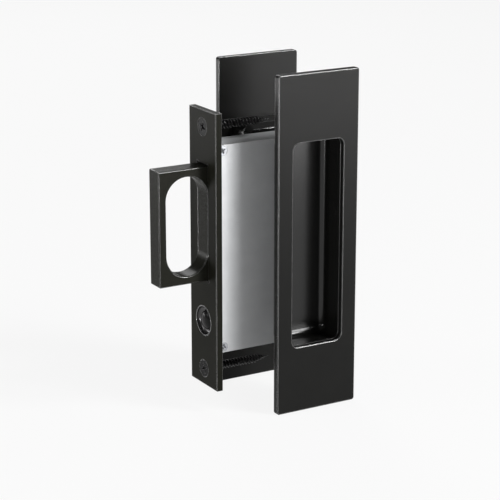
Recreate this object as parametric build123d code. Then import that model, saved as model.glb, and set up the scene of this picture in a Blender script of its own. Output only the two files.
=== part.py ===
from build123d import *
import os
from math import cos, pi, radians, sin, sqrt, tan

# Concealed handle set.
# An edge pull slides out of a mortise case behind the edge plate, and a push button lets it go.
# A flush pull with a drawn cup sits on each side, and two long screws tie the pair to the case.
# Millimetres. X runs from the edge plate into the case, Y from one flush pull to the other, Z up.
# The origin is the centre of the edge plate's back, midway between the flush pulls.

# Driving dimensions: the thickness that the set is made to fit, between its two flush plates
fitted_thickness = 47.6

# Edge pull: the loop that the fingers go through, and its tail inside the case
pull_height = 50.8
pull_thickness = 8.6
pull_travel = 23.4
pull_rim = 3.5
pull_tail = 8.0
pull_centre_z = 12.5
pull_edge_break = 0.35
ear_height = 3.5
ear_length = 4.0
ear_gap = 0.3

# Edge plate and the slot that the pull slides through
plate_width = 23.0
plate_thickness = 3.0
plate_overhang = 14.75
plate_edge_break = 0.25
slide_gap = 0.3
slot_end_gap = 0.5
slot_relief_radius = 0.6

# Wood screws of the edge plate
wood_head_diameter = 7.6
wood_neck_diameter = 4.2
wood_thread_diameter = 3.8
wood_screw_reach = 30.0
wood_point_length = 6.0

# Pull springs and the pins that keep them straight
spring_diameter = 5.8
spring_wire = 0.75
spring_spacing = 32.0
spring_closed_length = 21.6
spring_turns = 8
spring_flats = 8
spring_pocket_depth = 7.5
spring_pocket_gap = 0.3
guide_pin_diameter = 3.0
guide_pin_end_gap = 1.2

# Case
case_wall = 2.0
case_band = 5.0
case_corner_radius = 2.5
case_floor_drop = 8.9
shelf_length = 17.0
shelf_thickness = 2.0
peg_diameter = 4.0
peg_length = 1.5
cover_screw_diameter = 2.5
cover_head_diameter = 4.7
cover_screw_length = 8.0
cover_screw_inset = 3.2

# Push button, its ring and its clip
button_z = -32.1
button_diameter = 9.0
button_travel = 2.2
button_round = 2.2
button_back = 0.85
stem_diameter = 4.0
stem_tip_diameter = 1.4
ring_diameter = 13.4
ring_flange = 2.2
ring_lip = 0.4
ring_dish_depth = 1.9
sleeve_wall = 0.95
sleeve_length = 6.0
clip_thickness = 0.7
clip_rim = 0.9
clip_opening = 5.0
clip_gap = 0.25

# Leaf catch, bent from spring strip, and its rivet
catch_thickness = 0.6
catch_width = 6.0
catch_hold = 1.8
catch_gap = 0.2
catch_slope = 60.0
catch_tip_radius = 0.7
catch_bend_radius = 1.5
catch_leg = 10.4
catch_arm = 8.0
catch_run_on = 3.4
catch_foot = 19.0
rivet_diameter = 2.5
rivet_head_diameter = 4.4
rivet_head_height = 1.0
rivet_inset = 9.0

# Flush pulls: a plate with a drawn cup behind its opening
flush_height = 150.0
flush_width = 40.0
flush_thickness = 3.0
flush_setback = 21.6
flush_centre_z = 3.2
flush_corner_radius = 1.2
flush_edge_break = 0.35
recess_height = 90.7
recess_width = 25.3
recess_corner_radius = 3.2
recess_edge_break = 0.25
cup_wall = 1.2
cup_floor_radius = 3.0
cup_rim_break = 0.4
rebate_depth = 0.6

# Long screws that tie the flush pulls to the case, with their posts and spacers
spacer_length = 4.2
post_diameter = 8.0
spigot_diameter = 6.0
spigot_length = 4.6
post_floor = 1.0
boss_wall = 2.3
fixing_diameter = 4.0
fixing_head_diameter = 7.6
fixing_head_height = 2.4
fixing_head_margin = 0.55
fixing_end_gap = 1.5

# Shared fits
fit_gap = 0.05
bolt_gap = 0.2
cross_width = 1.0
cross_share = 0.6
cross_depth = 1.3
round_steps = 4

# Worked out from the driving dimensions: the edge pull
plate_front = -plate_thickness
pull_top = pull_centre_z + pull_height / 2
pull_bottom = pull_centre_z - pull_height / 2
ear_top = pull_top + ear_height
ear_bottom = pull_bottom - ear_height
hole_width = pull_travel - pull_rim
hole_height = pull_height - 2 * pull_rim
hole_centre_x = plate_front - hole_width / 2
pocket_floor = pull_tail - spring_pocket_depth
pocket_radius = spring_diameter / 2 + spring_pocket_gap
spring_heights = [pull_centre_z + side * spring_spacing / 2 for side in (1, -1)]

# The flush pulls, measured from the middle plane
cavity_half = pull_thickness / 2 + slide_gap
case_half = cavity_half + case_wall
cup_back = case_half + spacer_length
cup_floor = cup_back + cup_wall
cup_back_bevel = (2 - sqrt(2)) * (cup_floor_radius + cup_wall)
fitted_face = fitted_thickness / 2
flush_centre_x = plate_front + flush_setback + flush_width / 2
fixing_offset = recess_height / 2 - cup_floor_radius - fixing_head_diameter / 2 - fixing_head_margin
fixing_heights = [flush_centre_z + side * fixing_offset for side in (1, -1)]
boss_radius = fixing_diameter / 2 + bolt_gap + boss_wall

# The case, which holds the pull's travel, the catch and the two screw bosses
spring_rear = pocket_floor + pull_travel + spring_closed_length
case_inner_rear = max(spring_rear, flush_centre_x + boss_radius)
case_rear = case_inner_rear + case_wall
channel_top = ear_top + slide_gap
cavity_bottom = button_z - case_floor_drop
case_top = max(channel_top + case_band, fixing_heights[0] + boss_radius + boss_wall / 2)
case_bottom = min(cavity_bottom - case_band, fixing_heights[1] - boss_radius - boss_wall / 2)
plate_half_height = max(case_top, -case_bottom) + plate_overhang
wood_screw_z = plate_half_height - plate_overhang / 2
band_middles = [(case_top + channel_top) / 2, (case_bottom + cavity_bottom) / 2]
cover_screw_places = [
    (x, z) for x in (cover_screw_inset, case_rear - cover_screw_inset) for z in band_middles
]

# The button, its ring and the leaf catch
sleeve_bore = button_diameter / 2 + fit_gap
sleeve_radius = sleeve_bore + sleeve_wall
clip_front = sleeve_length + clip_gap
clip_radius = sleeve_radius - fit_gap
clip_groove = button_diameter / 2 - clip_rim
button_end = clip_front + clip_thickness + button_back
ear_front_shut = ear_gap + pull_travel
catch_leg_x = ear_front_shut - catch_gap - catch_thickness / 2
catch_peak = ear_bottom + catch_hold
tip_centre_z = catch_peak - catch_thickness / 2 - catch_tip_radius
catch_corner_z = tip_centre_z + catch_tip_radius / tan(radians(90 - catch_slope) / 2)
catch_arm_z = catch_peak - catch_leg
catch_back_x = catch_leg_x + catch_arm
catch_foot_z = cavity_bottom + catch_thickness / 2
slope_normal = (-sin(radians(catch_slope)), cos(radians(catch_slope)))
slope_reach = stem_diameter / 2 + catch_thickness / 2 + catch_gap
stem_end = catch_leg_x - (
    slope_reach - slope_normal[1] * (button_z - catch_corner_z)
) / -slope_normal[0]
slope_end_z = button_z - catch_run_on
slope_end_x = catch_leg_x - (catch_corner_z - slope_end_z) / tan(radians(catch_slope))
rivet_x = catch_back_x - rivet_inset


def block(x, y, z):
    """A box between two limits along each axis."""
    size = Box(x[1] - x[0], y[1] - y[0], z[1] - z[0])
    return Pos(sum(x) / 2, sum(y) / 2, sum(z) / 2) * size


def x_rod(x, z, radius):
    """A cylinder along X on the middle plane."""
    return Pos(sum(x) / 2, 0, z) * Rot(0, 90, 0) * Cylinder(radius, x[1] - x[0])


def y_rod(x, z, y, radius):
    """A cylinder along Y."""
    return Pos(x, sum(y) / 2, z) * Rot(90, 0, 0) * Cylinder(radius, y[1] - y[0])


def turned(points):
    """A turned piece about X, from its half section as (x, radius) points."""
    return revolve(make_face(Polyline(*points, close=True)), Axis.X)


def quarter_round(start, end):
    """Points on a quarter of an ellipse that leaves start along X and reaches end along the radius."""
    sweeps = [pi / 2 * i / round_steps for i in range(round_steps + 1)]
    return [
        (start[0] + (end[0] - start[0]) * sin(a), end[1] + (start[1] - end[1]) * cos(a)) for a in sweeps
    ]


def face_slab(width, height, corner, y, centre=(flush_centre_x, flush_centre_z)):
    """A round-cornered slab that stands across Y, between two Y limits."""
    outline = RectangleRounded(width, height, corner)
    plane = Plane(origin=(centre[0], y[0], centre[1]), x_dir=(1, 0, 0), z_dir=(0, 1, 0))
    return extrude(plane * outline, y[1] - y[0])


def cross_cut(head_diameter):
    """A cross recess, cut from X = 0 inwards."""
    arm = head_diameter * cross_share
    upright = block((0, cross_depth), (-cross_width / 2, cross_width / 2), (-arm / 2, arm / 2))
    return upright + Rot(90, 0, 0) * upright


def build_edge_plate():
    """Flat plate with the pull's slot, the button's stepped hole and two countersinks."""
    plate = block(
        (plate_front, 0),
        (-plate_width / 2, plate_width / 2),
        (-plate_half_height, plate_half_height),
    )
    plate = chamfer(plate.faces().sort_by(Axis.X)[0].edges(), plate_edge_break)
    slot_y = pull_thickness / 2 + slide_gap
    slot_z = (pull_bottom - slot_end_gap, pull_top + slot_end_gap)
    plate -= block((plate_front, 0), (-slot_y, slot_y), slot_z)
    for z in slot_z:
        for y in (-slot_y, slot_y):
            plate -= Pos(0, y, 0) * x_rod((plate_front, 0), z, slot_relief_radius)
    ring_seat = plate_front + ring_flange
    plate -= x_rod((plate_front, ring_seat), button_z, ring_diameter / 2 + fit_gap)
    plate -= x_rod((ring_seat, 0), button_z, sleeve_radius + fit_gap)
    neck = wood_neck_diameter / 2 + bolt_gap
    rim = wood_head_diameter / 2 + bolt_gap
    sink = turned([
        (plate_front, 0), (plate_front, rim), (plate_front + rim - neck, neck), (0, neck), (0, 0),
    ])
    for z in (wood_screw_z, -wood_screw_z):
        plate -= Pos(0, 0, z) * sink
    for z in band_middles:
        plate -= x_rod((-peg_length - fit_gap, 0), z, peg_diameter / 2 + fit_gap)
    return plate


def build_wood_screws():
    """Two countersunk screws; the neck fills the plate and the thread starts behind it."""
    head = wood_head_diameter / 2
    neck = wood_neck_diameter / 2
    thread = wood_thread_diameter / 2
    top = plate_front + bolt_gap / 2
    screw = turned([
        (top, 0), (top, head), (top + head - neck, neck), (0, neck), (0, thread),
        (wood_screw_reach - wood_point_length, thread), (wood_screw_reach, 0),
    ])
    screw -= Pos(top, 0, 0) * cross_cut(wood_head_diameter)
    return [Pos(0, 0, z) * screw for z in (wood_screw_z, -wood_screw_z)]


def build_edge_pull():
    """Loop with an obround finger hole, a tail with spring pockets and two stop ears."""
    half = pull_thickness / 2
    front = plate_front - pull_travel
    pull = block((front, pull_tail), (-half, half), (pull_bottom, pull_top))
    long_edges = pull.edges().filter_by(Axis.X)
    end_edges = pull.faces().sort_by(Axis.X)[0].edges()
    pull = chamfer(long_edges + end_edges, pull_edge_break)
    hole = Rot(0, 0, 90) * SlotOverall(hole_height, hole_width)
    pull -= extrude(Plane.XZ * Pos(hole_centre_x, pull_centre_z) * hole, half, both=True)
    rims = [
        edge for edge in pull.edges()
        if abs(abs(edge.center().Y) - half) < fit_gap
        and plate_front - hole_width - fit_gap < edge.center().X < plate_front + fit_gap
        and abs(edge.center().Z - pull_centre_z) < hole_height / 2 + fit_gap
    ]
    pull = chamfer(rims, pull_edge_break)
    pull += block((ear_gap, ear_gap + ear_length), (-half, half), (ear_bottom, ear_top))
    for z in spring_heights:
        pull -= x_rod((pocket_floor, pull_tail), z, pocket_radius)
    return pull


def build_pull_spring(z):
    """Open coil of square wire in short straight runs, from the pull's pocket to the rear wall."""
    radius = spring_diameter / 2 - spring_wire / sqrt(2)
    start = pocket_floor + spring_wire
    length = case_inner_rear - pocket_floor - 2 * spring_wire
    runs = spring_turns * spring_flats
    turn = 2 * pi / spring_flats
    path = Polyline(*[
        (radius * cos(turn * i), radius * sin(turn * i), length * i / runs) for i in range(runs + 1)
    ])
    section = Plane(origin=path @ 0, x_dir=(1, 0, 0), z_dir=path % 0) * Rectangle(spring_wire, spring_wire)
    coil = sweep(section, path=path, transition=Transition.RIGHT)
    return Pos(start, 0, z) * Rot(0, 90, 0) * coil


def build_guide_pin(z):
    """Pin pressed into the case's rear wall, short of the pull's pocket when it is shut."""
    tip = pocket_floor + pull_travel + guide_pin_end_gap
    pin = x_rod((tip, case_rear), z, guide_pin_diameter / 2)
    return chamfer(pin.edges().sort_by(Axis.X)[0], guide_pin_diameter / 6)


def case_outline(y):
    """The case's side outline, with its two rear corners rounded, as a slab along Y."""
    slab = block((0, case_rear), y, (case_bottom, case_top))
    rear = slab.edges().filter_by(Axis.Y).sort_by(Axis.X)[-2:]
    return fillet(rear, case_corner_radius)


def button_room():
    """Room for the ring's sleeve and the moving clip in the case's walls."""
    length = clip_front + clip_thickness + button_travel + slide_gap
    return x_rod((0, length), button_z, sleeve_radius + slide_gap)


def build_case_body():
    """Cast tray: one side wall, rear wall, two bands, screw bosses, shelf and pegs."""
    inner_y = (-cavity_half, cavity_half)
    body = case_outline((-cavity_half, case_half))
    body -= block((0, case_inner_rear), inner_y, (cavity_bottom, channel_top))
    for z in fixing_heights:
        body += y_rod(flush_centre_x, z, inner_y, boss_radius)
    shelf_top = ear_bottom - slide_gap
    body += block((0, shelf_length), inner_y, (shelf_top - shelf_thickness, shelf_top))
    for z in band_middles:
        body += x_rod((-peg_length, 0), z, peg_diameter / 2)
    for z in fixing_heights:
        body -= y_rod(flush_centre_x, z, (-cavity_half, case_half), fixing_diameter / 2 + bolt_gap)
        seat = (-cavity_half, spigot_length - case_half + fit_gap)
        body -= y_rod(flush_centre_x, z, seat, spigot_diameter / 2 + fit_gap)
    for x, z in cover_screw_places:
        depth = (-cavity_half, cover_screw_length - case_half + bolt_gap)
        body -= y_rod(x, z, depth, cover_screw_diameter / 2 + fit_gap)
    for z in spring_heights:
        body -= x_rod((case_inner_rear, case_rear), z, guide_pin_diameter / 2 + fit_gap)
    body -= button_room()
    body -= Pos(rivet_x, 0, 0) * rivet_shape(fit_gap)
    return body


def build_case_cover():
    """Flat side cover with countersunk screw holes and holes for the post spigots."""
    cover = case_outline((-case_half, -cavity_half))
    for z in fixing_heights:
        cover -= y_rod(flush_centre_x, z, (-case_half, -cavity_half), spigot_diameter / 2 + fit_gap)
    for x, z in cover_screw_places:
        cover -= Pos(x, -case_half, z) * Rot(0, 0, 90) * cover_screw_shape(fit_gap)
    cover -= button_room()
    return cover


def cover_screw_shape(gap):
    """Countersunk screw about X with its head at X = 0, grown by a gap all round."""
    head = cover_head_diameter / 2 + gap
    shank = cover_screw_diameter / 2 + gap
    return turned([
        (0, 0), (0, head), (head - shank, shank), (cover_screw_length, shank), (cover_screw_length, 0),
    ])


def build_cover_screws():
    """Four countersunk screws, a hair below the cover's face."""
    screw = cover_screw_shape(0)
    return [
        Pos(x, fit_gap - case_half, z) * Rot(0, 0, 90) * screw for x, z in cover_screw_places
    ]


def build_button_ring():
    """Turned ring: a bowl in the flange that is let into the plate, and the button's sleeve."""
    lip = ring_diameter / 2 - ring_lip
    flange_back = plate_front + ring_flange
    bowl = quarter_round((plate_front, lip), (plate_front + ring_dish_depth, sleeve_bore))
    return Pos(0, 0, button_z) * turned([
        (plate_front, ring_diameter / 2), *bowl, (sleeve_length, sleeve_bore),
        (sleeve_length, sleeve_radius), (flange_back, sleeve_radius), (flange_back, ring_diameter / 2),
    ])


def build_button():
    """Turned button: domed front, clip groove and a stem with a tapered end."""
    head = button_diameter / 2
    stem = stem_diameter / 2
    tip = stem_tip_diameter / 2
    groove = (clip_front - fit_gap, clip_front + clip_thickness + fit_gap)
    dome = quarter_round((plate_front + button_round, head), (plate_front, head - button_round))
    return Pos(0, 0, button_z) * turned([
        (plate_front, 0), *reversed(dome), (groove[0], head), (groove[0], clip_groove),
        (groove[1], clip_groove), (groove[1], head), (button_end, head), (button_end, stem),
        (stem_end, stem), (stem_end + stem - tip, tip), (stem_end + stem - tip, 0),
    ])


def build_button_clip():
    """Open spring clip that sits in the button's groove behind the sleeve."""
    span = (clip_front, clip_front + clip_thickness)
    clip = x_rod(span, 0, clip_radius) - x_rod(span, 0, clip_groove + fit_gap)
    clip -= block(span, (-clip_opening / 2, clip_opening / 2), (-clip_radius, 0))
    return Pos(0, 0, button_z) * clip


def build_catch_spring():
    """Strip bent into a foot, a C-shaped leg, a catch and a long slope for the button."""
    corners = [
        (catch_back_x - catch_foot, 0, catch_foot_z),
        (catch_back_x, 0, catch_foot_z),
        (catch_back_x, 0, catch_arm_z),
        (catch_leg_x, 0, catch_arm_z),
        (catch_leg_x, 0, catch_corner_z),
        (slope_end_x, 0, slope_end_z),
    ]
    bends = [catch_bend_radius, catch_bend_radius, catch_bend_radius, catch_tip_radius]
    path = FilletPolyline(*corners, radius=bends)
    section = Plane(origin=corners[0], x_dir=(0, 1, 0), z_dir=(1, 0, 0)) * Rectangle(
        catch_width, catch_thickness
    )
    strip = sweep(section, path=path)
    hole = Pos(rivet_x, 0, catch_foot_z) * Cylinder(rivet_diameter / 2 + fit_gap, 2 * catch_thickness)
    return strip - hole


def rivet_shape(gap):
    """Rivet up the case's bottom band on X = 0: countersunk below, a plain head on the foot."""
    shank = rivet_diameter / 2 + gap
    head = rivet_head_diameter / 2 + gap
    seat = cavity_bottom + catch_thickness
    half = make_face(Polyline(
        (0, case_bottom), (head, case_bottom), (shank, case_bottom + head - shank), (shank, seat),
        (head, seat), (head, seat + rivet_head_height), (0, seat + rivet_head_height), close=True,
    ))
    return revolve(Plane.XZ * half, Axis.Z)


def build_flush_plate():
    """Flush plate on the near face, with a straight opening and a rebate for the cup."""
    front = -fitted_face - flush_thickness
    plate = face_slab(flush_width, flush_height, flush_corner_radius, (front, -fitted_face))
    plate = chamfer(plate.faces().sort_by(Axis.Y)[0].edges(), flush_edge_break)
    plate -= face_slab(recess_width, recess_height, recess_corner_radius, (front, -fitted_face))
    mouth = plate.faces().sort_by(Axis.Y)[0].inner_wires()[0].edges()
    plate = chamfer(mouth, recess_edge_break)
    grow = 2 * (cup_wall + fit_gap)
    plate -= face_slab(
        recess_width + grow, recess_height + grow, recess_corner_radius + grow / 2,
        (-fitted_face - rebate_depth, -fitted_face),
    )
    return plate


def build_cup():
    """Drawn cup on the near side: rounded floor edge, bevelled back and a softened rim."""
    rim = -fitted_face - rebate_depth + fit_gap
    grow = 2 * cup_wall
    cup = face_slab(
        recess_width + grow, recess_height + grow, recess_corner_radius + cup_wall, (rim, -cup_back)
    )
    cup = chamfer(cup.faces().sort_by(Axis.Y)[-1].edges(), cup_back_bevel)
    hollow = face_slab(recess_width, recess_height, recess_corner_radius, (rim, -cup_floor))
    hollow = fillet(hollow.faces().sort_by(Axis.Y)[-1].edges(), cup_floor_radius)
    cup -= hollow
    mouth = cup.faces().sort_by(Axis.Y)[0].inner_wires()[0].edges()
    return chamfer(mouth, cup_rim_break)


def build_posts():
    """Two tapped posts on the back of the near cup, with spigots that enter the case."""
    posts = []
    for z in fixing_heights:
        post = y_rod(flush_centre_x, z, (-cup_back, -case_half), post_diameter / 2)
        post += y_rod(flush_centre_x, z, (-case_half, spigot_length - case_half), spigot_diameter / 2)
        bore = (post_floor - cup_back, spigot_length - case_half)
        post -= y_rod(flush_centre_x, z, bore, fixing_diameter / 2 + fit_gap)
        posts.append(post)
    return posts


def build_rear_cup():
    """The near cup mirrored to the far side, with two screw holes through its floor."""
    cup = mirror(build_cup(), about=Plane.XZ)
    for z in fixing_heights:
        cup -= y_rod(flush_centre_x, z, (cup_back, cup_floor), fixing_diameter / 2 + bolt_gap)
    return cup


def build_spacers():
    """Two tubes between the far cup and the case."""
    span = (case_half, cup_back)
    bore = fixing_diameter / 2 + bolt_gap
    return [
        y_rod(flush_centre_x, z, span, post_diameter / 2) - y_rod(flush_centre_x, z, span, bore)
        for z in fixing_heights
    ]


def build_fixing_screws():
    """Two pan-head screws from the far cup's floor through the case into the posts."""
    head = fixing_head_diameter / 2
    shank = fixing_diameter / 2
    reach = cup_floor + cup_back - post_floor - fixing_end_gap
    screw = turned([
        (-fixing_head_height, 0), (-fixing_head_height, head), (0, head), (0, shank),
        (reach, shank), (reach, 0),
    ])
    crown = screw.edges().filter_by(GeomType.CIRCLE).sort_by(Axis.X)[0]
    screw = chamfer(crown, fixing_head_height / 3)
    screw -= Pos(-fixing_head_height, 0, 0) * cross_cut(fixing_head_diameter)
    return [Pos(flush_centre_x, cup_floor, z) * Rot(0, 0, -90) * screw for z in fixing_heights]


front_plate = build_flush_plate()
pieces = {
    "edge_plate": build_edge_plate(),
    "edge_plate_screws": build_wood_screws(),
    "edge_pull": build_edge_pull(),
    "button_ring": build_button_ring(),
    "release_button": build_button(),
    "button_clip": build_button_clip(),
    "case_body": build_case_body(),
    "case_cover": build_case_cover(),
    "case_cover_screws": build_cover_screws(),
    "upper_guide_pin": build_guide_pin(spring_heights[0]),
    "lower_guide_pin": build_guide_pin(spring_heights[1]),
    "upper_pull_spring": build_pull_spring(spring_heights[0]),
    "lower_pull_spring": build_pull_spring(spring_heights[1]),
    "catch_spring": build_catch_spring(),
    "catch_rivet": Pos(rivet_x, 0, 0) * rivet_shape(0),
    "front_plate": front_plate,
    "front_cup": build_cup(),
    "front_fixing_posts": build_posts(),
    "rear_plate": mirror(front_plate, about=Plane.XZ),
    "rear_cup": build_rear_cup(),
    "rear_spacers": build_spacers(),
    "fixing_screws": build_fixing_screws(),
}

os.makedirs("parts", exist_ok=True)
for name, piece in pieces.items():
    copies = piece if isinstance(piece, list) else [piece]
    solids = [solid for copy in copies for solid in copy.solids()]
    export_step(Compound(children=solids) if len(solids) > 1 else solids[0], f"parts/{name}.step")
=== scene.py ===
import math

import bmesh
import bpy
from mathutils import Matrix, Vector


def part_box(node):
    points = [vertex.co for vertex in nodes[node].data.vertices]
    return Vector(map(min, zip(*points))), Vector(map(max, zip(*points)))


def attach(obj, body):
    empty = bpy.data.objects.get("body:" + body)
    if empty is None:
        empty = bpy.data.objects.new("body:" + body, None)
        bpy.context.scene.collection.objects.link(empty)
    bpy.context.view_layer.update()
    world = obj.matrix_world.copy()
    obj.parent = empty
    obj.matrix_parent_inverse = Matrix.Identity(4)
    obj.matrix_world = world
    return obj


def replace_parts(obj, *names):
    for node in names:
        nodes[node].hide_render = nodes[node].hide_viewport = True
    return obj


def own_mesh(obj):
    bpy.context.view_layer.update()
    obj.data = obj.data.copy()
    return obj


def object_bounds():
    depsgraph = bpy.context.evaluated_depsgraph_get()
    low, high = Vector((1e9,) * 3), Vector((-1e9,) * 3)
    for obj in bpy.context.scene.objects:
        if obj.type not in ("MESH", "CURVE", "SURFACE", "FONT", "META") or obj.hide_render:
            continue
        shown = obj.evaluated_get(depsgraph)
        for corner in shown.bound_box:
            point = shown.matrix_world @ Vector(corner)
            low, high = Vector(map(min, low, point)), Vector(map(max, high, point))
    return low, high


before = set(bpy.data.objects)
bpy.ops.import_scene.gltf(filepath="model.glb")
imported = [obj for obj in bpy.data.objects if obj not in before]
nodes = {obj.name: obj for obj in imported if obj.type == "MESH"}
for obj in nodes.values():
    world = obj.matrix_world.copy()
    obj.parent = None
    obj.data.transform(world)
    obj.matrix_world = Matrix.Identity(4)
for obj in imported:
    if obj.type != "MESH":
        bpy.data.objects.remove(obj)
cad_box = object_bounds()

# Edge plate: a flat steel plate that closes the front of the case, slotted for the pull.
# It is blasted and powder coated a satin black with a very slight olive cast, and a lighter,
# metallic line is painted along its edges: a painted highlight, and bare metal where the coat is thin.
MM = 0.001


def coat_grain_group():
    """Fine powder grain and slow clouds, as masks that change over the surface."""
    group = bpy.data.node_groups.new("coat_grain", "ShaderNodeTree")
    for label, value in (("Grain scale", 5200.0), ("Cloud scale", 60.0)):
        socket = group.interface.new_socket(label, in_out="INPUT", socket_type="NodeSocketFloat")
        socket.default_value = value
    for label in ("Clouds", "Grain", "Height"):
        group.interface.new_socket(label, in_out="OUTPUT", socket_type="NodeSocketFloat")
    enter = group.nodes.new("NodeGroupInput")
    leave = group.nodes.new("NodeGroupOutput")
    place = group.nodes.new("ShaderNodeTexCoord")
    clouds = group.nodes.new("ShaderNodeTexNoise")
    clouds.inputs["Detail"].default_value = 3.0
    grain = group.nodes.new("ShaderNodeTexNoise")
    grain.inputs["Detail"].default_value = 2.0
    grain.inputs["Roughness"].default_value = 0.6
    peel = group.nodes.new("ShaderNodeTexVoronoi")
    peel.feature = "SMOOTH_F1"
    height = group.nodes.new("ShaderNodeMath")
    height.operation = "MULTIPLY_ADD"
    height.inputs[1].default_value = 0.6
    join = group.links.new
    for texture in (clouds, grain, peel):
        join(place.outputs["Object"], texture.inputs["Vector"])
    join(enter.outputs["Cloud scale"], clouds.inputs["Scale"])
    join(enter.outputs["Grain scale"], grain.inputs["Scale"])
    join(enter.outputs["Grain scale"], peel.inputs["Scale"])
    join(clouds.outputs["Fac"], leave.inputs["Clouds"])
    join(grain.outputs["Fac"], leave.inputs["Grain"])
    join(peel.outputs["Distance"], height.inputs[0])
    join(grain.outputs["Fac"], height.inputs[2])
    join(height.outputs[0], leave.inputs["Height"])
    return group


def edge_line_group():
    """A mask along the edges of a piece, where the painted edge highlight goes, with the softened normal
    that goes with it.
    """
    group = bpy.data.node_groups.new("edge_line", "ShaderNodeTree")
    radius = group.interface.new_socket("Radius", in_out="INPUT", socket_type="NodeSocketFloat")
    radius.default_value = 0.4 * MM
    group.interface.new_socket("Edge", in_out="OUTPUT", socket_type="NodeSocketFloat")
    group.interface.new_socket("Normal", in_out="OUTPUT", socket_type="NodeSocketVector")
    enter = group.nodes.new("NodeGroupInput")
    leave = group.nodes.new("NodeGroupOutput")
    soft = group.nodes.new("ShaderNodeBevel")
    soft.samples = 4
    face = group.nodes.new("ShaderNodeNewGeometry")
    match = group.nodes.new("ShaderNodeVectorMath")
    match.operation = "DOT_PRODUCT"
    mask = group.nodes.new("ShaderNodeMapRange")
    mask.inputs["From Min"].default_value = 0.99
    mask.inputs["From Max"].default_value = 0.92
    join = group.links.new
    join(enter.outputs["Radius"], soft.inputs["Radius"])
    join(soft.outputs["Normal"], match.inputs[0])
    join(face.outputs["Normal"], match.inputs[1])
    join(match.outputs["Value"], mask.inputs["Value"])
    join(mask.outputs["Result"], leave.inputs["Edge"])
    join(soft.outputs["Normal"], leave.inputs["Normal"])
    return group


coat_grain = coat_grain_group()
edge_line = edge_line_group()


def metal_finish(name, tones, roughness, relief, scales=(5200.0, 60.0), metal=0.0, sheen=0.2,
                 edge=(0.4 * MM, 0.25)):
    """A finish whose tone follows slow clouds and whose gloss follows a fine grain.

    Tones are the dark and the light one, roughness the low and the high, scales those of the
    grain and the clouds. Edge is the radius and the tone of a painted highlight line along the
    piece's edges. A finish without metal is a coat, and under that line it also turns metallic, as if
    worn through to metal."""
    material = bpy.data.materials.new(name)
    material.use_nodes = True
    tree = material.node_tree
    shader = tree.nodes["Principled BSDF"]
    shader.inputs["Metallic"].default_value = metal
    shader.inputs["Specular IOR Level"].default_value = sheen
    grain = tree.nodes.new("ShaderNodeGroup")
    grain.node_tree = coat_grain
    grain.inputs["Grain scale"].default_value = scales[0]
    grain.inputs["Cloud scale"].default_value = scales[1]
    line = tree.nodes.new("ShaderNodeGroup")
    line.node_tree = edge_line
    line.inputs["Radius"].default_value = edge[0]
    tone = tree.nodes.new("ShaderNodeMix")
    tone.data_type = "RGBA"
    tone.inputs["A"].default_value = (*tones[0], 1.0)
    tone.inputs["B"].default_value = (*tones[1], 1.0)
    # Painted highlight: along the edges the base colour is mixed towards the lighter edge tone.
    painted_edge_highlight = tree.nodes.new("ShaderNodeMix")
    painted_edge_highlight.data_type = "RGBA"
    painted_edge_highlight.inputs["B"].default_value = (edge[1], edge[1], edge[1], 1.0)
    gloss = tree.nodes.new("ShaderNodeMapRange")
    gloss.inputs["From Min"].default_value = 0.3
    gloss.inputs["From Max"].default_value = 0.7
    gloss.inputs["To Min"].default_value = roughness[0]
    gloss.inputs["To Max"].default_value = roughness[1]
    bump = tree.nodes.new("ShaderNodeBump")
    bump.inputs["Strength"].default_value = 0.2
    bump.inputs["Distance"].default_value = relief
    join = tree.links.new
    join(grain.outputs["Clouds"], tone.inputs["Factor"])
    join(tone.outputs["Result"], painted_edge_highlight.inputs["A"])
    join(line.outputs["Edge"], painted_edge_highlight.inputs["Factor"])
    join(painted_edge_highlight.outputs["Result"], shader.inputs["Base Color"])
    # On a coat the painted edge line is also made metallic, as bare metal where the coat wears.
    if metal == 0.0:
        join(line.outputs["Edge"], shader.inputs["Metallic"])
    join(grain.outputs["Grain"], gloss.inputs["Value"])
    join(gloss.outputs["Result"], shader.inputs["Roughness"])
    join(grain.outputs["Height"], bump.inputs["Height"])
    join(line.outputs["Normal"], bump.inputs["Normal"])
    join(bump.outputs["Normal"], shader.inputs["Normal"])
    return material


def finish_node(name, material):
    """Puts one material on a CAD piece."""
    mesh = nodes[name].data
    mesh.materials.clear()
    mesh.materials.append(material)


edge_coat = metal_finish(
    "edge_plate_coat", tones=((0.008, 0.008, 0.0058), (0.012, 0.012, 0.009)),
    roughness=(0.36, 0.44), relief=0.004 * MM, sheen=0.03, edge=(0.3 * MM, 0.3),
)
finish_node("edge_plate", edge_coat)

# Edge plate screws: two countersunk wood screws with a cross recess, blackened.
# They are turned and rolled; the thread runs out towards a gimlet point.
screw_black = metal_finish(
    "blackened_screw", tones=((0.008, 0.008, 0.008), (0.013, 0.013, 0.013)),
    roughness=(0.32, 0.42), relief=0.006 * MM, scales=(9000.0, 400.0), sheen=0.05,
    edge=(0.2 * MM, 0.2),
)
cross_taper = 0.62
driver_cross = (4.4 * MM, 1.05 * MM, 1.5 * MM)


def cross_outline(span, width):
    """The twelve corners of a plus sign, in order, in the plane X = 0."""
    a, b = span / 2, width / 2
    quarter = [(a, -b), (a, b), (b, b)]
    corners = []
    for quarters in range(4):
        spun = Matrix.Rotation(quarters * math.pi / 2, 2)
        corners += [spun @ Vector(corner) for corner in quarter]
    return [Vector((0.0, corner.x, corner.y)) for corner in corners]


def closed_edges(mesh, points):
    """A closed ring of edges through the points."""
    ring = [mesh.verts.new(point) for point in points]
    return [mesh.edges.new((ring[i - 1], ring[i])) for i in range(len(ring))]


def turn(mesh, profile, steps):
    """Spins a line of (x, radius) points once round X."""
    line = [mesh.verts.new((x, radius, 0.0)) for x, radius in profile]
    runs = [mesh.edges.new(pair) for pair in zip(line, line[1:])]
    bmesh.ops.spin(
        mesh, geom=line + runs, cent=(0, 0, 0), axis=(1, 0, 0), dvec=(0, 0, 0),
        angle=2 * math.pi, steps=steps, use_merge=True, use_duplicate=False,
    )
    bmesh.ops.remove_doubles(mesh, verts=mesh.verts, dist=1e-7)


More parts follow.
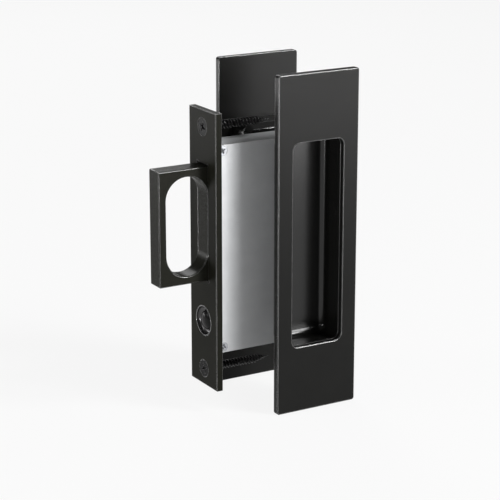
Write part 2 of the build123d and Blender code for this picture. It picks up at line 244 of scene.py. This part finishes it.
def cross_head(mesh, profile, steps, cross):
    """Turns a screw from its profile and sinks a tapered cross in the flat top of its head.

    The profile runs from the rim of the flat top down to the axis, and the cross has a span,
    a width and a depth."""
    span, width, depth = cross
    turn(mesh, profile, steps)
    top = profile[0][0]
    rim = [edge for edge in mesh.edges if edge.is_boundary]
    outline = [corner + Vector((top, 0, 0)) for corner in cross_outline(span, width)]
    recess = closed_edges(mesh, outline)
    bmesh.ops.triangle_fill(mesh, use_beauty=True, use_dissolve=False, edges=rim + recess)
    sunk = bmesh.ops.extrude_edge_only(mesh, edges=recess)["geom"]
    for item in sunk:
        if isinstance(item, bmesh.types.BMVert):
            item.co = Vector((top + depth, item.co.y * cross_taper, item.co.z * cross_taper))
    bmesh.ops.contextual_create(mesh, geom=[edge for edge in mesh.edges if edge.is_boundary])


def helical_ridge(mesh, span, root, crest, pitch, steps):
    """A closed thread ridge about X, of triangular section, over a span of X."""
    start, end = span
    half = pitch * 0.38
    section = [(start - half, root), (start, crest), (start + half, root)]
    face = mesh.faces.new([mesh.verts.new((x, radius, 0.0)) for x, radius in section])
    turns = (end - start) / pitch
    bmesh.ops.spin(
        mesh, geom=[face], cent=(0, 0, 0), axis=(1, 0, 0), dvec=(pitch / steps, 0, 0),
        angle=2 * math.pi * turns, steps=int(turns * steps), use_merge=False, use_duplicate=False,
    )


def new_piece(name, mesh, material, body):
    """Finishes a mesh as a named piece at the origin that rides on a body."""
    bmesh.ops.recalc_face_normals(mesh, faces=mesh.faces)
    data = bpy.data.meshes.new(name)
    mesh.to_mesh(data)
    mesh.free()
    piece = bpy.data.objects.new(name, data)
    bpy.context.scene.collection.objects.link(piece)
    data.materials.append(material)
    data.shade_smooth()
    data.set_sharp_from_angle(angle=math.radians(35))
    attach(piece, body)
    return piece


def aim_screw(mesh, twist, heading, place):
    """Twists a screw about X, swings it round Z to its heading and moves it to its place."""
    for angle, axis in ((twist, "X"), (heading, "Z")):
        spin = Matrix.Rotation(angle, 3, axis)
        bmesh.ops.rotate(mesh, verts=mesh.verts, cent=(0, 0, 0), matrix=spin)
    bmesh.ops.translate(mesh, verts=mesh.verts, vec=place)


wood_low, wood_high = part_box("edge_plate_screws")
wood_head = (wood_high.y - wood_low.y) / 2
wood_rim_break = 0.12 * MM
wood_cone_start = 0.3 * MM
wood_cone_inset = 0.05 * MM
wood_neck = 1.9 * MM
wood_neck_end = 1.5 * MM
wood_core = 1.35 * MM
wood_core_start = 2.2 * MM
wood_core_tip = 0.4 * MM
wood_thread = (2.4 * MM, wood_high.x - 1.2 * MM)
wood_root = wood_core - 0.1 * MM
wood_crest = 1.9 * MM
wood_pitch = 1.5 * MM
wood_taper = 7.0 * MM
wood_point_share = 0.04
wood_steps = 48
thread_steps = 24


def wood_screw_mesh():
    """Head, neck, core and rolled thread, about X, with the taper of the point applied last."""
    mesh = bmesh.new()
    top = wood_low.x
    profile = [
        (top, wood_head - wood_rim_break), (top + wood_rim_break, wood_head),
        (top + wood_cone_start, wood_head - wood_cone_inset),
        (top + wood_head - wood_neck, wood_neck), (wood_neck_end, wood_neck),
        (wood_core_start, wood_core), (wood_high.x - wood_core_tip, wood_core), (wood_high.x, 0.0),
    ]
    cross_head(mesh, profile, wood_steps, driver_cross)
    helical_ridge(mesh, wood_thread, wood_root, wood_crest, wood_pitch, thread_steps)
    for vert in mesh.verts:
        share = (wood_high.x - vert.co.x) / wood_taper
        if share < 1.0:
            vert.co.y *= max(share, wood_point_share)
            vert.co.z *= max(share, wood_point_share)
    return mesh


wood_places = (
    ("edge_screw_upper", wood_high.z - wood_head, 0.42),
    ("edge_screw_lower", wood_low.z + wood_head, 1.15),
)
for name, z, twist in wood_places:
    mesh = wood_screw_mesh()
    aim_screw(mesh, twist, 0.0, (0, 0, z))
    screw = new_piece(name, mesh, screw_black, "frame")
    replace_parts(screw, "edge_plate_screws")

# Edge pull: a cast loop that the fingers go through, coated like the plate.
# Its edges are broken by hand before coating, so they catch a thin line of light, which is also a painted
# highlight.
# Painted light: the pull's black is a shade lighter than the plates', making up for the reflection its
# low sheen loses.
pull_coat = metal_finish(
    "edge_pull_coat", tones=((0.010, 0.010, 0.0075), (0.014, 0.014, 0.0108)),
    roughness=(0.24, 0.30), relief=0.004 * MM, sheen=0.05, edge=(0.3 * MM, 0.3),
)
finish_node("edge_pull", pull_coat)

# Button and its ring: turned brass under the same black coat, a little smoother.
# The ring is pressed into the plate; a spring clip behind its sleeve keeps the button in.
ring_coat = metal_finish(
    "button_ring_coat", tones=((0.008, 0.008, 0.008), (0.012, 0.012, 0.012)),
    roughness=(0.20, 0.28), relief=0.004 * MM, sheen=0.6, edge=(0.2 * MM, 0.3),
)
button_coat = metal_finish(
    "button_coat", tones=((0.008, 0.008, 0.008), (0.011, 0.011, 0.011)),
    roughness=(0.10, 0.16), relief=0.004 * MM, sheen=0.08, edge=(0.05 * MM, 0.02),
)
clip_steel = metal_finish(
    "clip_steel", tones=((0.30, 0.30, 0.31), (0.42, 0.42, 0.43)),
    roughness=(0.25, 0.38), relief=0.006 * MM, scales=(6000.0, 300.0), metal=1.0,
)
finish_node("button_clip", clip_steel)


def quarter_round(start, end, steps):
    """Points of a quarter ellipse that leaves start along X and reaches end along the radius."""
    points = []
    for i in range(steps + 1):
        a = math.pi / 2 * i / steps
        x = start[0] + (end[0] - start[0]) * math.sin(a)
        points.append((x, end[1] + (start[1] - end[1]) * math.cos(a)))
    return points


ring_low, ring_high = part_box("button_ring")
button_low, button_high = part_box("release_button")
button_z = (ring_low.z + ring_high.z) / 2
button_radius = (button_high.z - button_low.z) / 2
ring_radius = (ring_high.z - ring_low.z) / 2
ring_edge_break = 0.12 * MM
ring_lip = 0.4 * MM
ring_bowl_depth = 1.9 * MM
sleeve_bore = button_radius + 0.05 * MM
sleeve_radius = sleeve_bore + 0.95 * MM
flange_back = ring_low.x + 2.2 * MM
bowl_steps = 12
ring_profile = [
    (ring_low.x + ring_edge_break, ring_radius), (ring_low.x, ring_radius - ring_edge_break),
    *quarter_round(
        (ring_low.x, ring_radius - ring_lip), (ring_low.x + ring_bowl_depth, sleeve_bore), bowl_steps
    ),
    (ring_high.x, sleeve_bore), (ring_high.x, sleeve_radius), (flange_back, sleeve_radius),
    (flange_back, ring_radius), (ring_low.x + ring_edge_break, ring_radius),
]
dome_depth = 2.2 * MM
dome_flat = 0.4 * MM
dome_steps = 16
clip_low, clip_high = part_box("button_clip")
clip_play = 0.05 * MM
groove_front, groove_back = clip_low.x - clip_play, clip_high.x + clip_play
groove_radius = 3.6 * MM
skirt_end = clip_high.x + 0.85 * MM
stem_radius = 2.0 * MM
stem_taper = 1.3 * MM
stem_tip = 0.7 * MM
turned_steps = 72
dome_start = (button_low.x + dome_depth, button_radius)
dome_end = (button_low.x, dome_flat)
button_profile = [
    (button_low.x, 0.0), *reversed(quarter_round(dome_start, dome_end, dome_steps)),
    (groove_front, button_radius), (groove_front, groove_radius), (groove_back, groove_radius),
    (groove_back, button_radius), (skirt_end, button_radius), (skirt_end, stem_radius),
    (button_high.x - stem_taper, stem_radius), (button_high.x, stem_tip), (button_high.x, 0.0),
]
turned_pieces = (
    ("button_ring", ring_profile, ring_coat, "frame"),
    ("release_button", button_profile, button_coat, "button"),
)
for name, profile, material, body in turned_pieces:
    mesh = bmesh.new()
    turn(mesh, profile, turned_steps)
    bmesh.ops.translate(mesh, verts=mesh.verts, vec=(0, 0, button_z))
    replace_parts(new_piece(name + "_turned", mesh, material, body), name)

# Case: a zinc casting with a flat cover, bright and slightly cloudy from the mould.
# It is out of sight in use, so it is left uncoated.
case_zinc = metal_finish(
    "cast_zinc", tones=((0.50, 0.51, 0.52), (0.62, 0.63, 0.64)), roughness=(0.42, 0.58),
    relief=0.05 * MM, scales=(2600.0, 90.0), metal=0.5, edge=(0.4 * MM, 0.7),
)
cover_zinc = metal_finish(
    "cover_zinc", tones=((0.56, 0.57, 0.58), (0.66, 0.67, 0.68)), roughness=(0.36, 0.48),
    relief=0.02 * MM, scales=(4200.0, 140.0), metal=0.5, edge=(0.4 * MM, 0.75),
)
finish_node("case_body", case_zinc)
finish_node("case_cover", cover_zinc)

# Cover screws: four small countersunk screws with a cross recess, zinc plated.
# They hold the cover on the case's bands and sit a hair below its face.
plated_screw = metal_finish(
    "plated_screw", tones=((0.34, 0.35, 0.37), (0.44, 0.45, 0.47)), roughness=(0.34, 0.46),
    relief=0.006 * MM, scales=(8000.0, 400.0), metal=1.0, edge=(0.15 * MM, 0.55),
)
cover_low, cover_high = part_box("case_cover_screws")
cover_head = 2.35 * MM
cover_rim_break = 0.08 * MM
cover_cone_start = 0.2 * MM
cover_cone_inset = 0.03 * MM
cover_shank = 1.25 * MM
cover_length = cover_high.y - cover_low.y
cover_end_break = 0.4 * MM
cover_end = cover_shank * 0.75
cover_cross = (2.7 * MM, 0.7 * MM, 1.0 * MM)
cover_steps = 36


def cover_screw_mesh():
    """A countersunk screw about X with its head at X = 0."""
    mesh = bmesh.new()
    profile = [
        (0.0, cover_head - cover_rim_break), (cover_rim_break, cover_head),
        (cover_cone_start, cover_head - cover_cone_inset), (cover_head - cover_shank, cover_shank),
        (cover_length - cover_end_break, cover_shank), (cover_length, cover_end), (cover_length, 0.0),
    ]
    cross_head(mesh, profile, cover_steps, cover_cross)
    return mesh


cover_front_x, cover_rear_x = cover_low.x + cover_head, cover_high.x - cover_head
cover_lower_z, cover_upper_z = cover_low.z + cover_head, cover_high.z - cover_head
cover_places = (
    (cover_front_x, cover_lower_z, 0.3), (cover_front_x, cover_upper_z, 1.1),
    (cover_rear_x, cover_lower_z, 0.7), (cover_rear_x, cover_upper_z, 0.1),
)
cover_screws = bmesh.new()
for x, z, twist in cover_places:
    mesh = cover_screw_mesh()
    aim_screw(mesh, twist, math.pi / 2, (x, cover_low.y, z))
    carrier = bpy.data.meshes.new("carrier")
    mesh.to_mesh(carrier)
    mesh.free()
    cover_screws.from_mesh(carrier)
    bpy.data.meshes.remove(carrier)
screw = new_piece("cover_screws", cover_screws, plated_screw, "frame")
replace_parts(screw, "case_cover_screws")

# Guide pins and rivet: ground steel, bright.
# The pins are pressed into the rear wall and the rivet is headed over the catch's foot.
pin_steel = metal_finish(
    "ground_steel", tones=((0.50, 0.50, 0.50), (0.60, 0.60, 0.60)), roughness=(0.18, 0.30),
    relief=0.006 * MM, scales=(7000.0, 200.0), metal=1.0, edge=(0.2 * MM, 0.7),
)
for name in ("upper_guide_pin", "lower_guide_pin", "catch_rivet"):
    finish_node(name, pin_steel)

# Pull springs: round wire coils with closed ends, in oiled spring steel.
# They sit over the pins, push the pull out and shorten towards the case's rear wall.
spring_steel = metal_finish(
    "oiled_spring_steel", tones=((0.16, 0.16, 0.17), (0.30, 0.30, 0.32)), roughness=(0.20, 0.34),
    relief=0.006 * MM, scales=(5000.0, 260.0), metal=1.0,
)
coil_wire = 0.75 * MM
coil_steps = 20
open_turns = 7
closed_rise = coil_wire * 1.05


def coil_mesh(low, high):
    """A wire ring swept round X: one closed turn, the open turns, one closed turn."""
    mesh = bmesh.new()
    radius = (high.z - low.z - coil_wire) / 2
    centre_z = (high.z + low.z) / 2
    stand = Matrix.Translation((low.x + coil_wire / 2, 0.0, centre_z + radius))
    made = bmesh.ops.create_circle(
        mesh, cap_ends=True, segments=10, radius=coil_wire / 2,
        matrix=stand @ Matrix.Rotation(math.pi / 2, 4, "X"),
    )
    last = list({face for vert in made["verts"] for face in vert.link_faces})
    open_rise = (high.x - low.x - coil_wire - 2 * closed_rise) / open_turns
    for turns, rise in ((1, closed_rise), (open_turns, open_rise), (1, closed_rise)):
        swept = bmesh.ops.spin(
            mesh, geom=last, cent=(0, 0, centre_z), axis=(1, 0, 0), dvec=(rise / coil_steps, 0, 0),
            angle=2 * math.pi * turns, steps=coil_steps * turns, use_merge=False, use_duplicate=False,
        )
        last = swept["geom_last"]
    return mesh


for name in ("upper_pull_spring", "lower_pull_spring"):
    low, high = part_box(name)
    low.x -= coil_wire / 2
    high.x += coil_wire / 2
    coil = new_piece(name + "_coil", coil_mesh(low, high), spring_steel, "frame")
    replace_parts(coil, name)
    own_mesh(coil)

# Leaf catch: one spring strip, bent to a foot, a back leg, a catch and a long slope.
# The foot is riveted down; the button presses the slope and the catch drops clear of the pull.
catch_low, catch_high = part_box("catch_spring")
strip_width = catch_high.y - catch_low.y
strip_thickness = 0.6 * MM
bend_radius = 1.5 * MM
tip_radius = 0.7 * MM
foot_run = 17.5 * MM
back_run = 12.7 * MM
foot_z = catch_low.z + strip_thickness / 2
back_x = catch_high.x - strip_thickness / 2
foot_start = (back_x - bend_radius - foot_run, 0, foot_z)
arm_start = (back_x, 0, foot_z + bend_radius + back_run)
foot_moves = [("run", foot_run, 0), ("bend", -90, bend_radius), ("run", back_run, 0)]
arm_moves = [
    ("bend", -90, bend_radius), ("run", 5.0 * MM, 0), ("bend", 90, bend_radius), ("run", 7.9 * MM, 0),
    ("bend", -150, tip_radius), ("run", 23.38 * MM, 0),
]


def strip_mesh(start, heading, moves):
    """A strip across Y that runs from start along a chain of runs and bends in the plane of X and Z."""
    mesh = bmesh.new()
    place = Vector(start)
    ahead = Vector(heading)
    half = Vector((0.0, strip_width / 2, 0.0))
    edge = mesh.edges.new((mesh.verts.new(place - half), mesh.verts.new(place + half)))
    for kind, amount, radius in moves:
        if kind == "run":
            made = bmesh.ops.extrude_edge_only(mesh, edges=[edge])["geom"]
            fresh = [item for item in made if isinstance(item, bmesh.types.BMVert)]
            bmesh.ops.translate(mesh, verts=fresh, vec=ahead * amount)
            place = place + ahead * amount
        else:
            angle = math.radians(amount)
            side = Matrix.Rotation(math.copysign(math.pi / 2, angle), 3, "Y") @ ahead
            centre = place + side * radius
            made = bmesh.ops.spin(
                mesh, geom=[edge, *edge.verts], cent=centre, axis=(0, 1, 0), dvec=(0, 0, 0),
                angle=angle, steps=max(4, int(abs(amount) / 12)), use_merge=False, use_duplicate=False,
            )["geom_last"]
            swing = Matrix.Rotation(angle, 3, "Y")
            place = centre + swing @ (place - centre)
            ahead = swing @ ahead
        edge = [item for item in made if isinstance(item, bmesh.types.BMEdge)][-1]
    return mesh


def strip_piece(name, mesh):
    """A strip of spring steel with its thickness, as part of the catch."""
    strip = new_piece(name, mesh, spring_steel, "frame")
    shell = strip.modifiers.new("strip", "SOLIDIFY")
    shell.thickness = strip_thickness
    shell.offset = 0.0
    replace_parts(strip, "catch_spring")
    return strip


strip_piece("catch_foot", strip_mesh(foot_start, (1, 0, 0), foot_moves))
catch_arm = strip_piece("catch_arm", strip_mesh(arm_start, (0, 0, 1), arm_moves))
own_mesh(catch_arm)

# Flush pulls: a thick plate with a deep drawn cup behind its opening, one on each side.
# Both are coated the same satin black after the cup is set in the plate's rebate; the cup's black
# is set darker than the plate's, as painted shade inside the recess.
flush_coat = metal_finish(
    "flush_plate_coat", tones=((0.006, 0.006, 0.0056), (0.009, 0.009, 0.0085)),
    roughness=(0.28, 0.34), relief=0.004 * MM, sheen=0.1, edge=(0.4 * MM, 0.32),
)
# Painted shade: the cup's tones are darker than the plate's so the recess reads black.
cup_coat = metal_finish(
    "cup_coat", tones=((0.004, 0.004, 0.0037), (0.006, 0.006, 0.0055)),
    roughness=(0.17, 0.23), relief=0.004 * MM, sheen=0.4, edge=(0.3 * MM, 0.3),
)
for name in ("front_plate", "rear_plate"):
    finish_node(name, flush_coat)
for name in ("front_cup", "rear_cup"):
    finish_node(name, cup_coat)

# Posts and spacers: zinc plated turned pieces between the cups and the case.
# The posts are tapped and sit on the near cup; the spacers are plain tubes.
turned_zinc = metal_finish(
    "turned_zinc", tones=((0.48, 0.49, 0.51), (0.58, 0.59, 0.61)), roughness=(0.22, 0.34),
    relief=0.008 * MM, scales=(6000.0, 160.0), metal=1.0, edge=(0.3 * MM, 0.75),
)
for name in ("front_fixing_posts", "rear_spacers"):
    finish_node(name, turned_zinc)

# Fixing screws: two long pan head screws with a cross recess, blackened.
# They are driven from the far cup through the case into the posts, so only their heads show.
fixing_low, fixing_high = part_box("fixing_screws")
fixing_x = (fixing_low.x + fixing_high.x) / 2
fixing_head = (fixing_high.x - fixing_low.x) / 2
fixing_head_height = 2.4 * MM
fixing_crown_flat = 2.5 * MM
fixing_crown_depth = 1.2 * MM
fixing_crown_steps = 6
fixing_shank = 2.0 * MM
fixing_length = fixing_high.y - fixing_low.y
fixing_end_break = 0.5 * MM
fixing_steps = 40


def fixing_screw_mesh():
    """A pan head screw about X with its crown at X = 0."""
    mesh = bmesh.new()
    crown = quarter_round((fixing_crown_depth, fixing_head), (0.0, fixing_crown_flat), fixing_crown_steps)
    profile = [
        *reversed(crown), (fixing_head_height, fixing_head), (fixing_head_height, fixing_shank),
        (fixing_length - fixing_end_break, fixing_shank),
        (fixing_length, fixing_shank - fixing_end_break), (fixing_length, 0.0),
    ]
    cross_head(mesh, profile, fixing_steps, driver_cross)
    return mesh


fixing_places = (
    ("fixing_screw_upper", fixing_high.z - fixing_head, 0.5),
    ("fixing_screw_lower", fixing_low.z + fixing_head, 1.2),
)
for name, z, twist in fixing_places:
    mesh = fixing_screw_mesh()
    aim_screw(mesh, twist, -math.pi / 2, (fixing_x, fixing_high.y, z))
    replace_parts(new_piece(name, mesh, screw_black, "frame"), "fixing_screws")

# Studio: a plain pale floor under the plates' lower edges, and soft boxes round the part.
# A rising row of three draws the level edges, three low ones the upright edges and the sheen of
# the plates, and two far ones fill in from behind. The camera stands where the photograph's did.
floor_half = 14.0
floor_mesh = bmesh.new()
bmesh.ops.create_grid(floor_mesh, x_segments=1, y_segments=1, size=floor_half)
bmesh.ops.translate(floor_mesh, verts=floor_mesh.verts, vec=(0, 0, cad_box[0].z))
floor_data = bpy.data.meshes.new("floor")
floor_mesh.to_mesh(floor_data)
floor_mesh.free()
floor = bpy.data.objects.new("floor", floor_data)
bpy.context.scene.collection.objects.link(floor)


def floor_paint():
    """Matt pale paint that the camera and every reflection see as nearly white."""
    material = bpy.data.materials.new("floor_paint")
    material.use_nodes = True
    tree = material.node_tree
    paint = tree.nodes["Principled BSDF"]
    paint.inputs["Base Color"].default_value = (0.62, 0.62, 0.62, 1.0)
    paint.inputs["Roughness"].default_value = 0.9
    ray = tree.nodes.new("ShaderNodeLightPath")
    white = tree.nodes.new("ShaderNodeEmission")
    mirrored = tree.nodes.new("ShaderNodeMath")
    mirrored.operation = "MAXIMUM"
    seen = tree.nodes.new("ShaderNodeMath")
    seen.operation = "MAXIMUM"
    share = tree.nodes.new("ShaderNodeMath")
    share.operation = "MULTIPLY"
    share.inputs[1].default_value = 0.88
    blend = tree.nodes.new("ShaderNodeMixShader")
    join = tree.links.new
    join(ray.outputs["Is Glossy Ray"], mirrored.inputs[0])
    join(ray.outputs["Is Transmission Ray"], mirrored.inputs[1])
    join(ray.outputs["Is Camera Ray"], seen.inputs[0])
    join(mirrored.outputs[0], seen.inputs[1])
    join(seen.outputs[0], share.inputs[0])
    join(share.outputs[0], blend.inputs["Fac"])
    join(paint.outputs["BSDF"], blend.inputs[1])
    join(white.outputs["Emission"], blend.inputs[2])
    join(blend.outputs["Shader"], tree.nodes["Material Output"].inputs["Surface"])
    return material


floor_data.materials.append(floor_paint())


def soft_box(name, place, aim, size, power):
    """A rectangular area lamp that looks at a point."""
    lamp = bpy.data.lights.new(name, "AREA")
    lamp.shape = "RECTANGLE"
    lamp.size, lamp.size_y = size
    lamp.energy = power
    holder = bpy.data.objects.new(name, lamp)
    holder.location = place
    holder.rotation_euler = (Vector(aim) - Vector(place)).to_track_quat("-Z", "Y").to_euler()
    bpy.context.scene.collection.objects.link(holder)


flush_aim = (0.03, -0.02, 0.0)
edge_aim = (0.0, 0.0, 0.0)
soft_box("key", (0.56, -0.61, 0.80), flush_aim, (0.20, 0.40), 8.0)
soft_box("middle_panel", (0.56, -0.89, 0.42), flush_aim, (0.20, 0.50), 4.5)
soft_box("front_panel", (0.62, -0.98, 0.16), flush_aim, (0.50, 0.20), 3.4)
soft_box("low_panel", (0.32, -0.52, -0.015), (0.03, -0.02, 0.02), (0.30, 0.10), 0.85)
soft_box("left_strip", (-0.42, -0.25, -0.02), edge_aim, (0.12, 0.08), 1.0)
soft_box("rim_panel", (-0.30, 0.52, -0.015), (0.0, 0.0, 0.02), (0.30, 0.10), 0.45)
soft_box("left_fill", (-1.15, 0.35, 0.60), edge_aim, (0.60, 0.60), 4.0)
soft_box("back_fill", (0.35, 1.15, 0.75), (0.03, 0.02, 0.0), (0.60, 0.60), 6.0)

world = bpy.data.worlds.new("studio")
world.use_nodes = True
world_light = world.node_tree.nodes["Background"]
world_light.inputs["Color"].default_value = (1.0, 1.0, 1.0, 1.0)
world_light.inputs["Strength"].default_value = 0.12
bpy.context.scene.world = world

camera = bpy.data.objects.new("camera", bpy.data.cameras.new("camera"))
camera.data.lens = 129.39
camera.data.sensor_width = 36.0
camera.data.clip_start = 0.05
camera.location = (-0.36081, -0.65345, 0.21593)
camera.rotation_euler = Vector((0.48399, 0.82953, -0.27863)).to_track_quat("-Z", "Y").to_euler()
bpy.context.scene.collection.objects.link(camera)
bpy.context.scene.camera = camera
bpy.context.scene.view_settings.view_transform = "Standard"
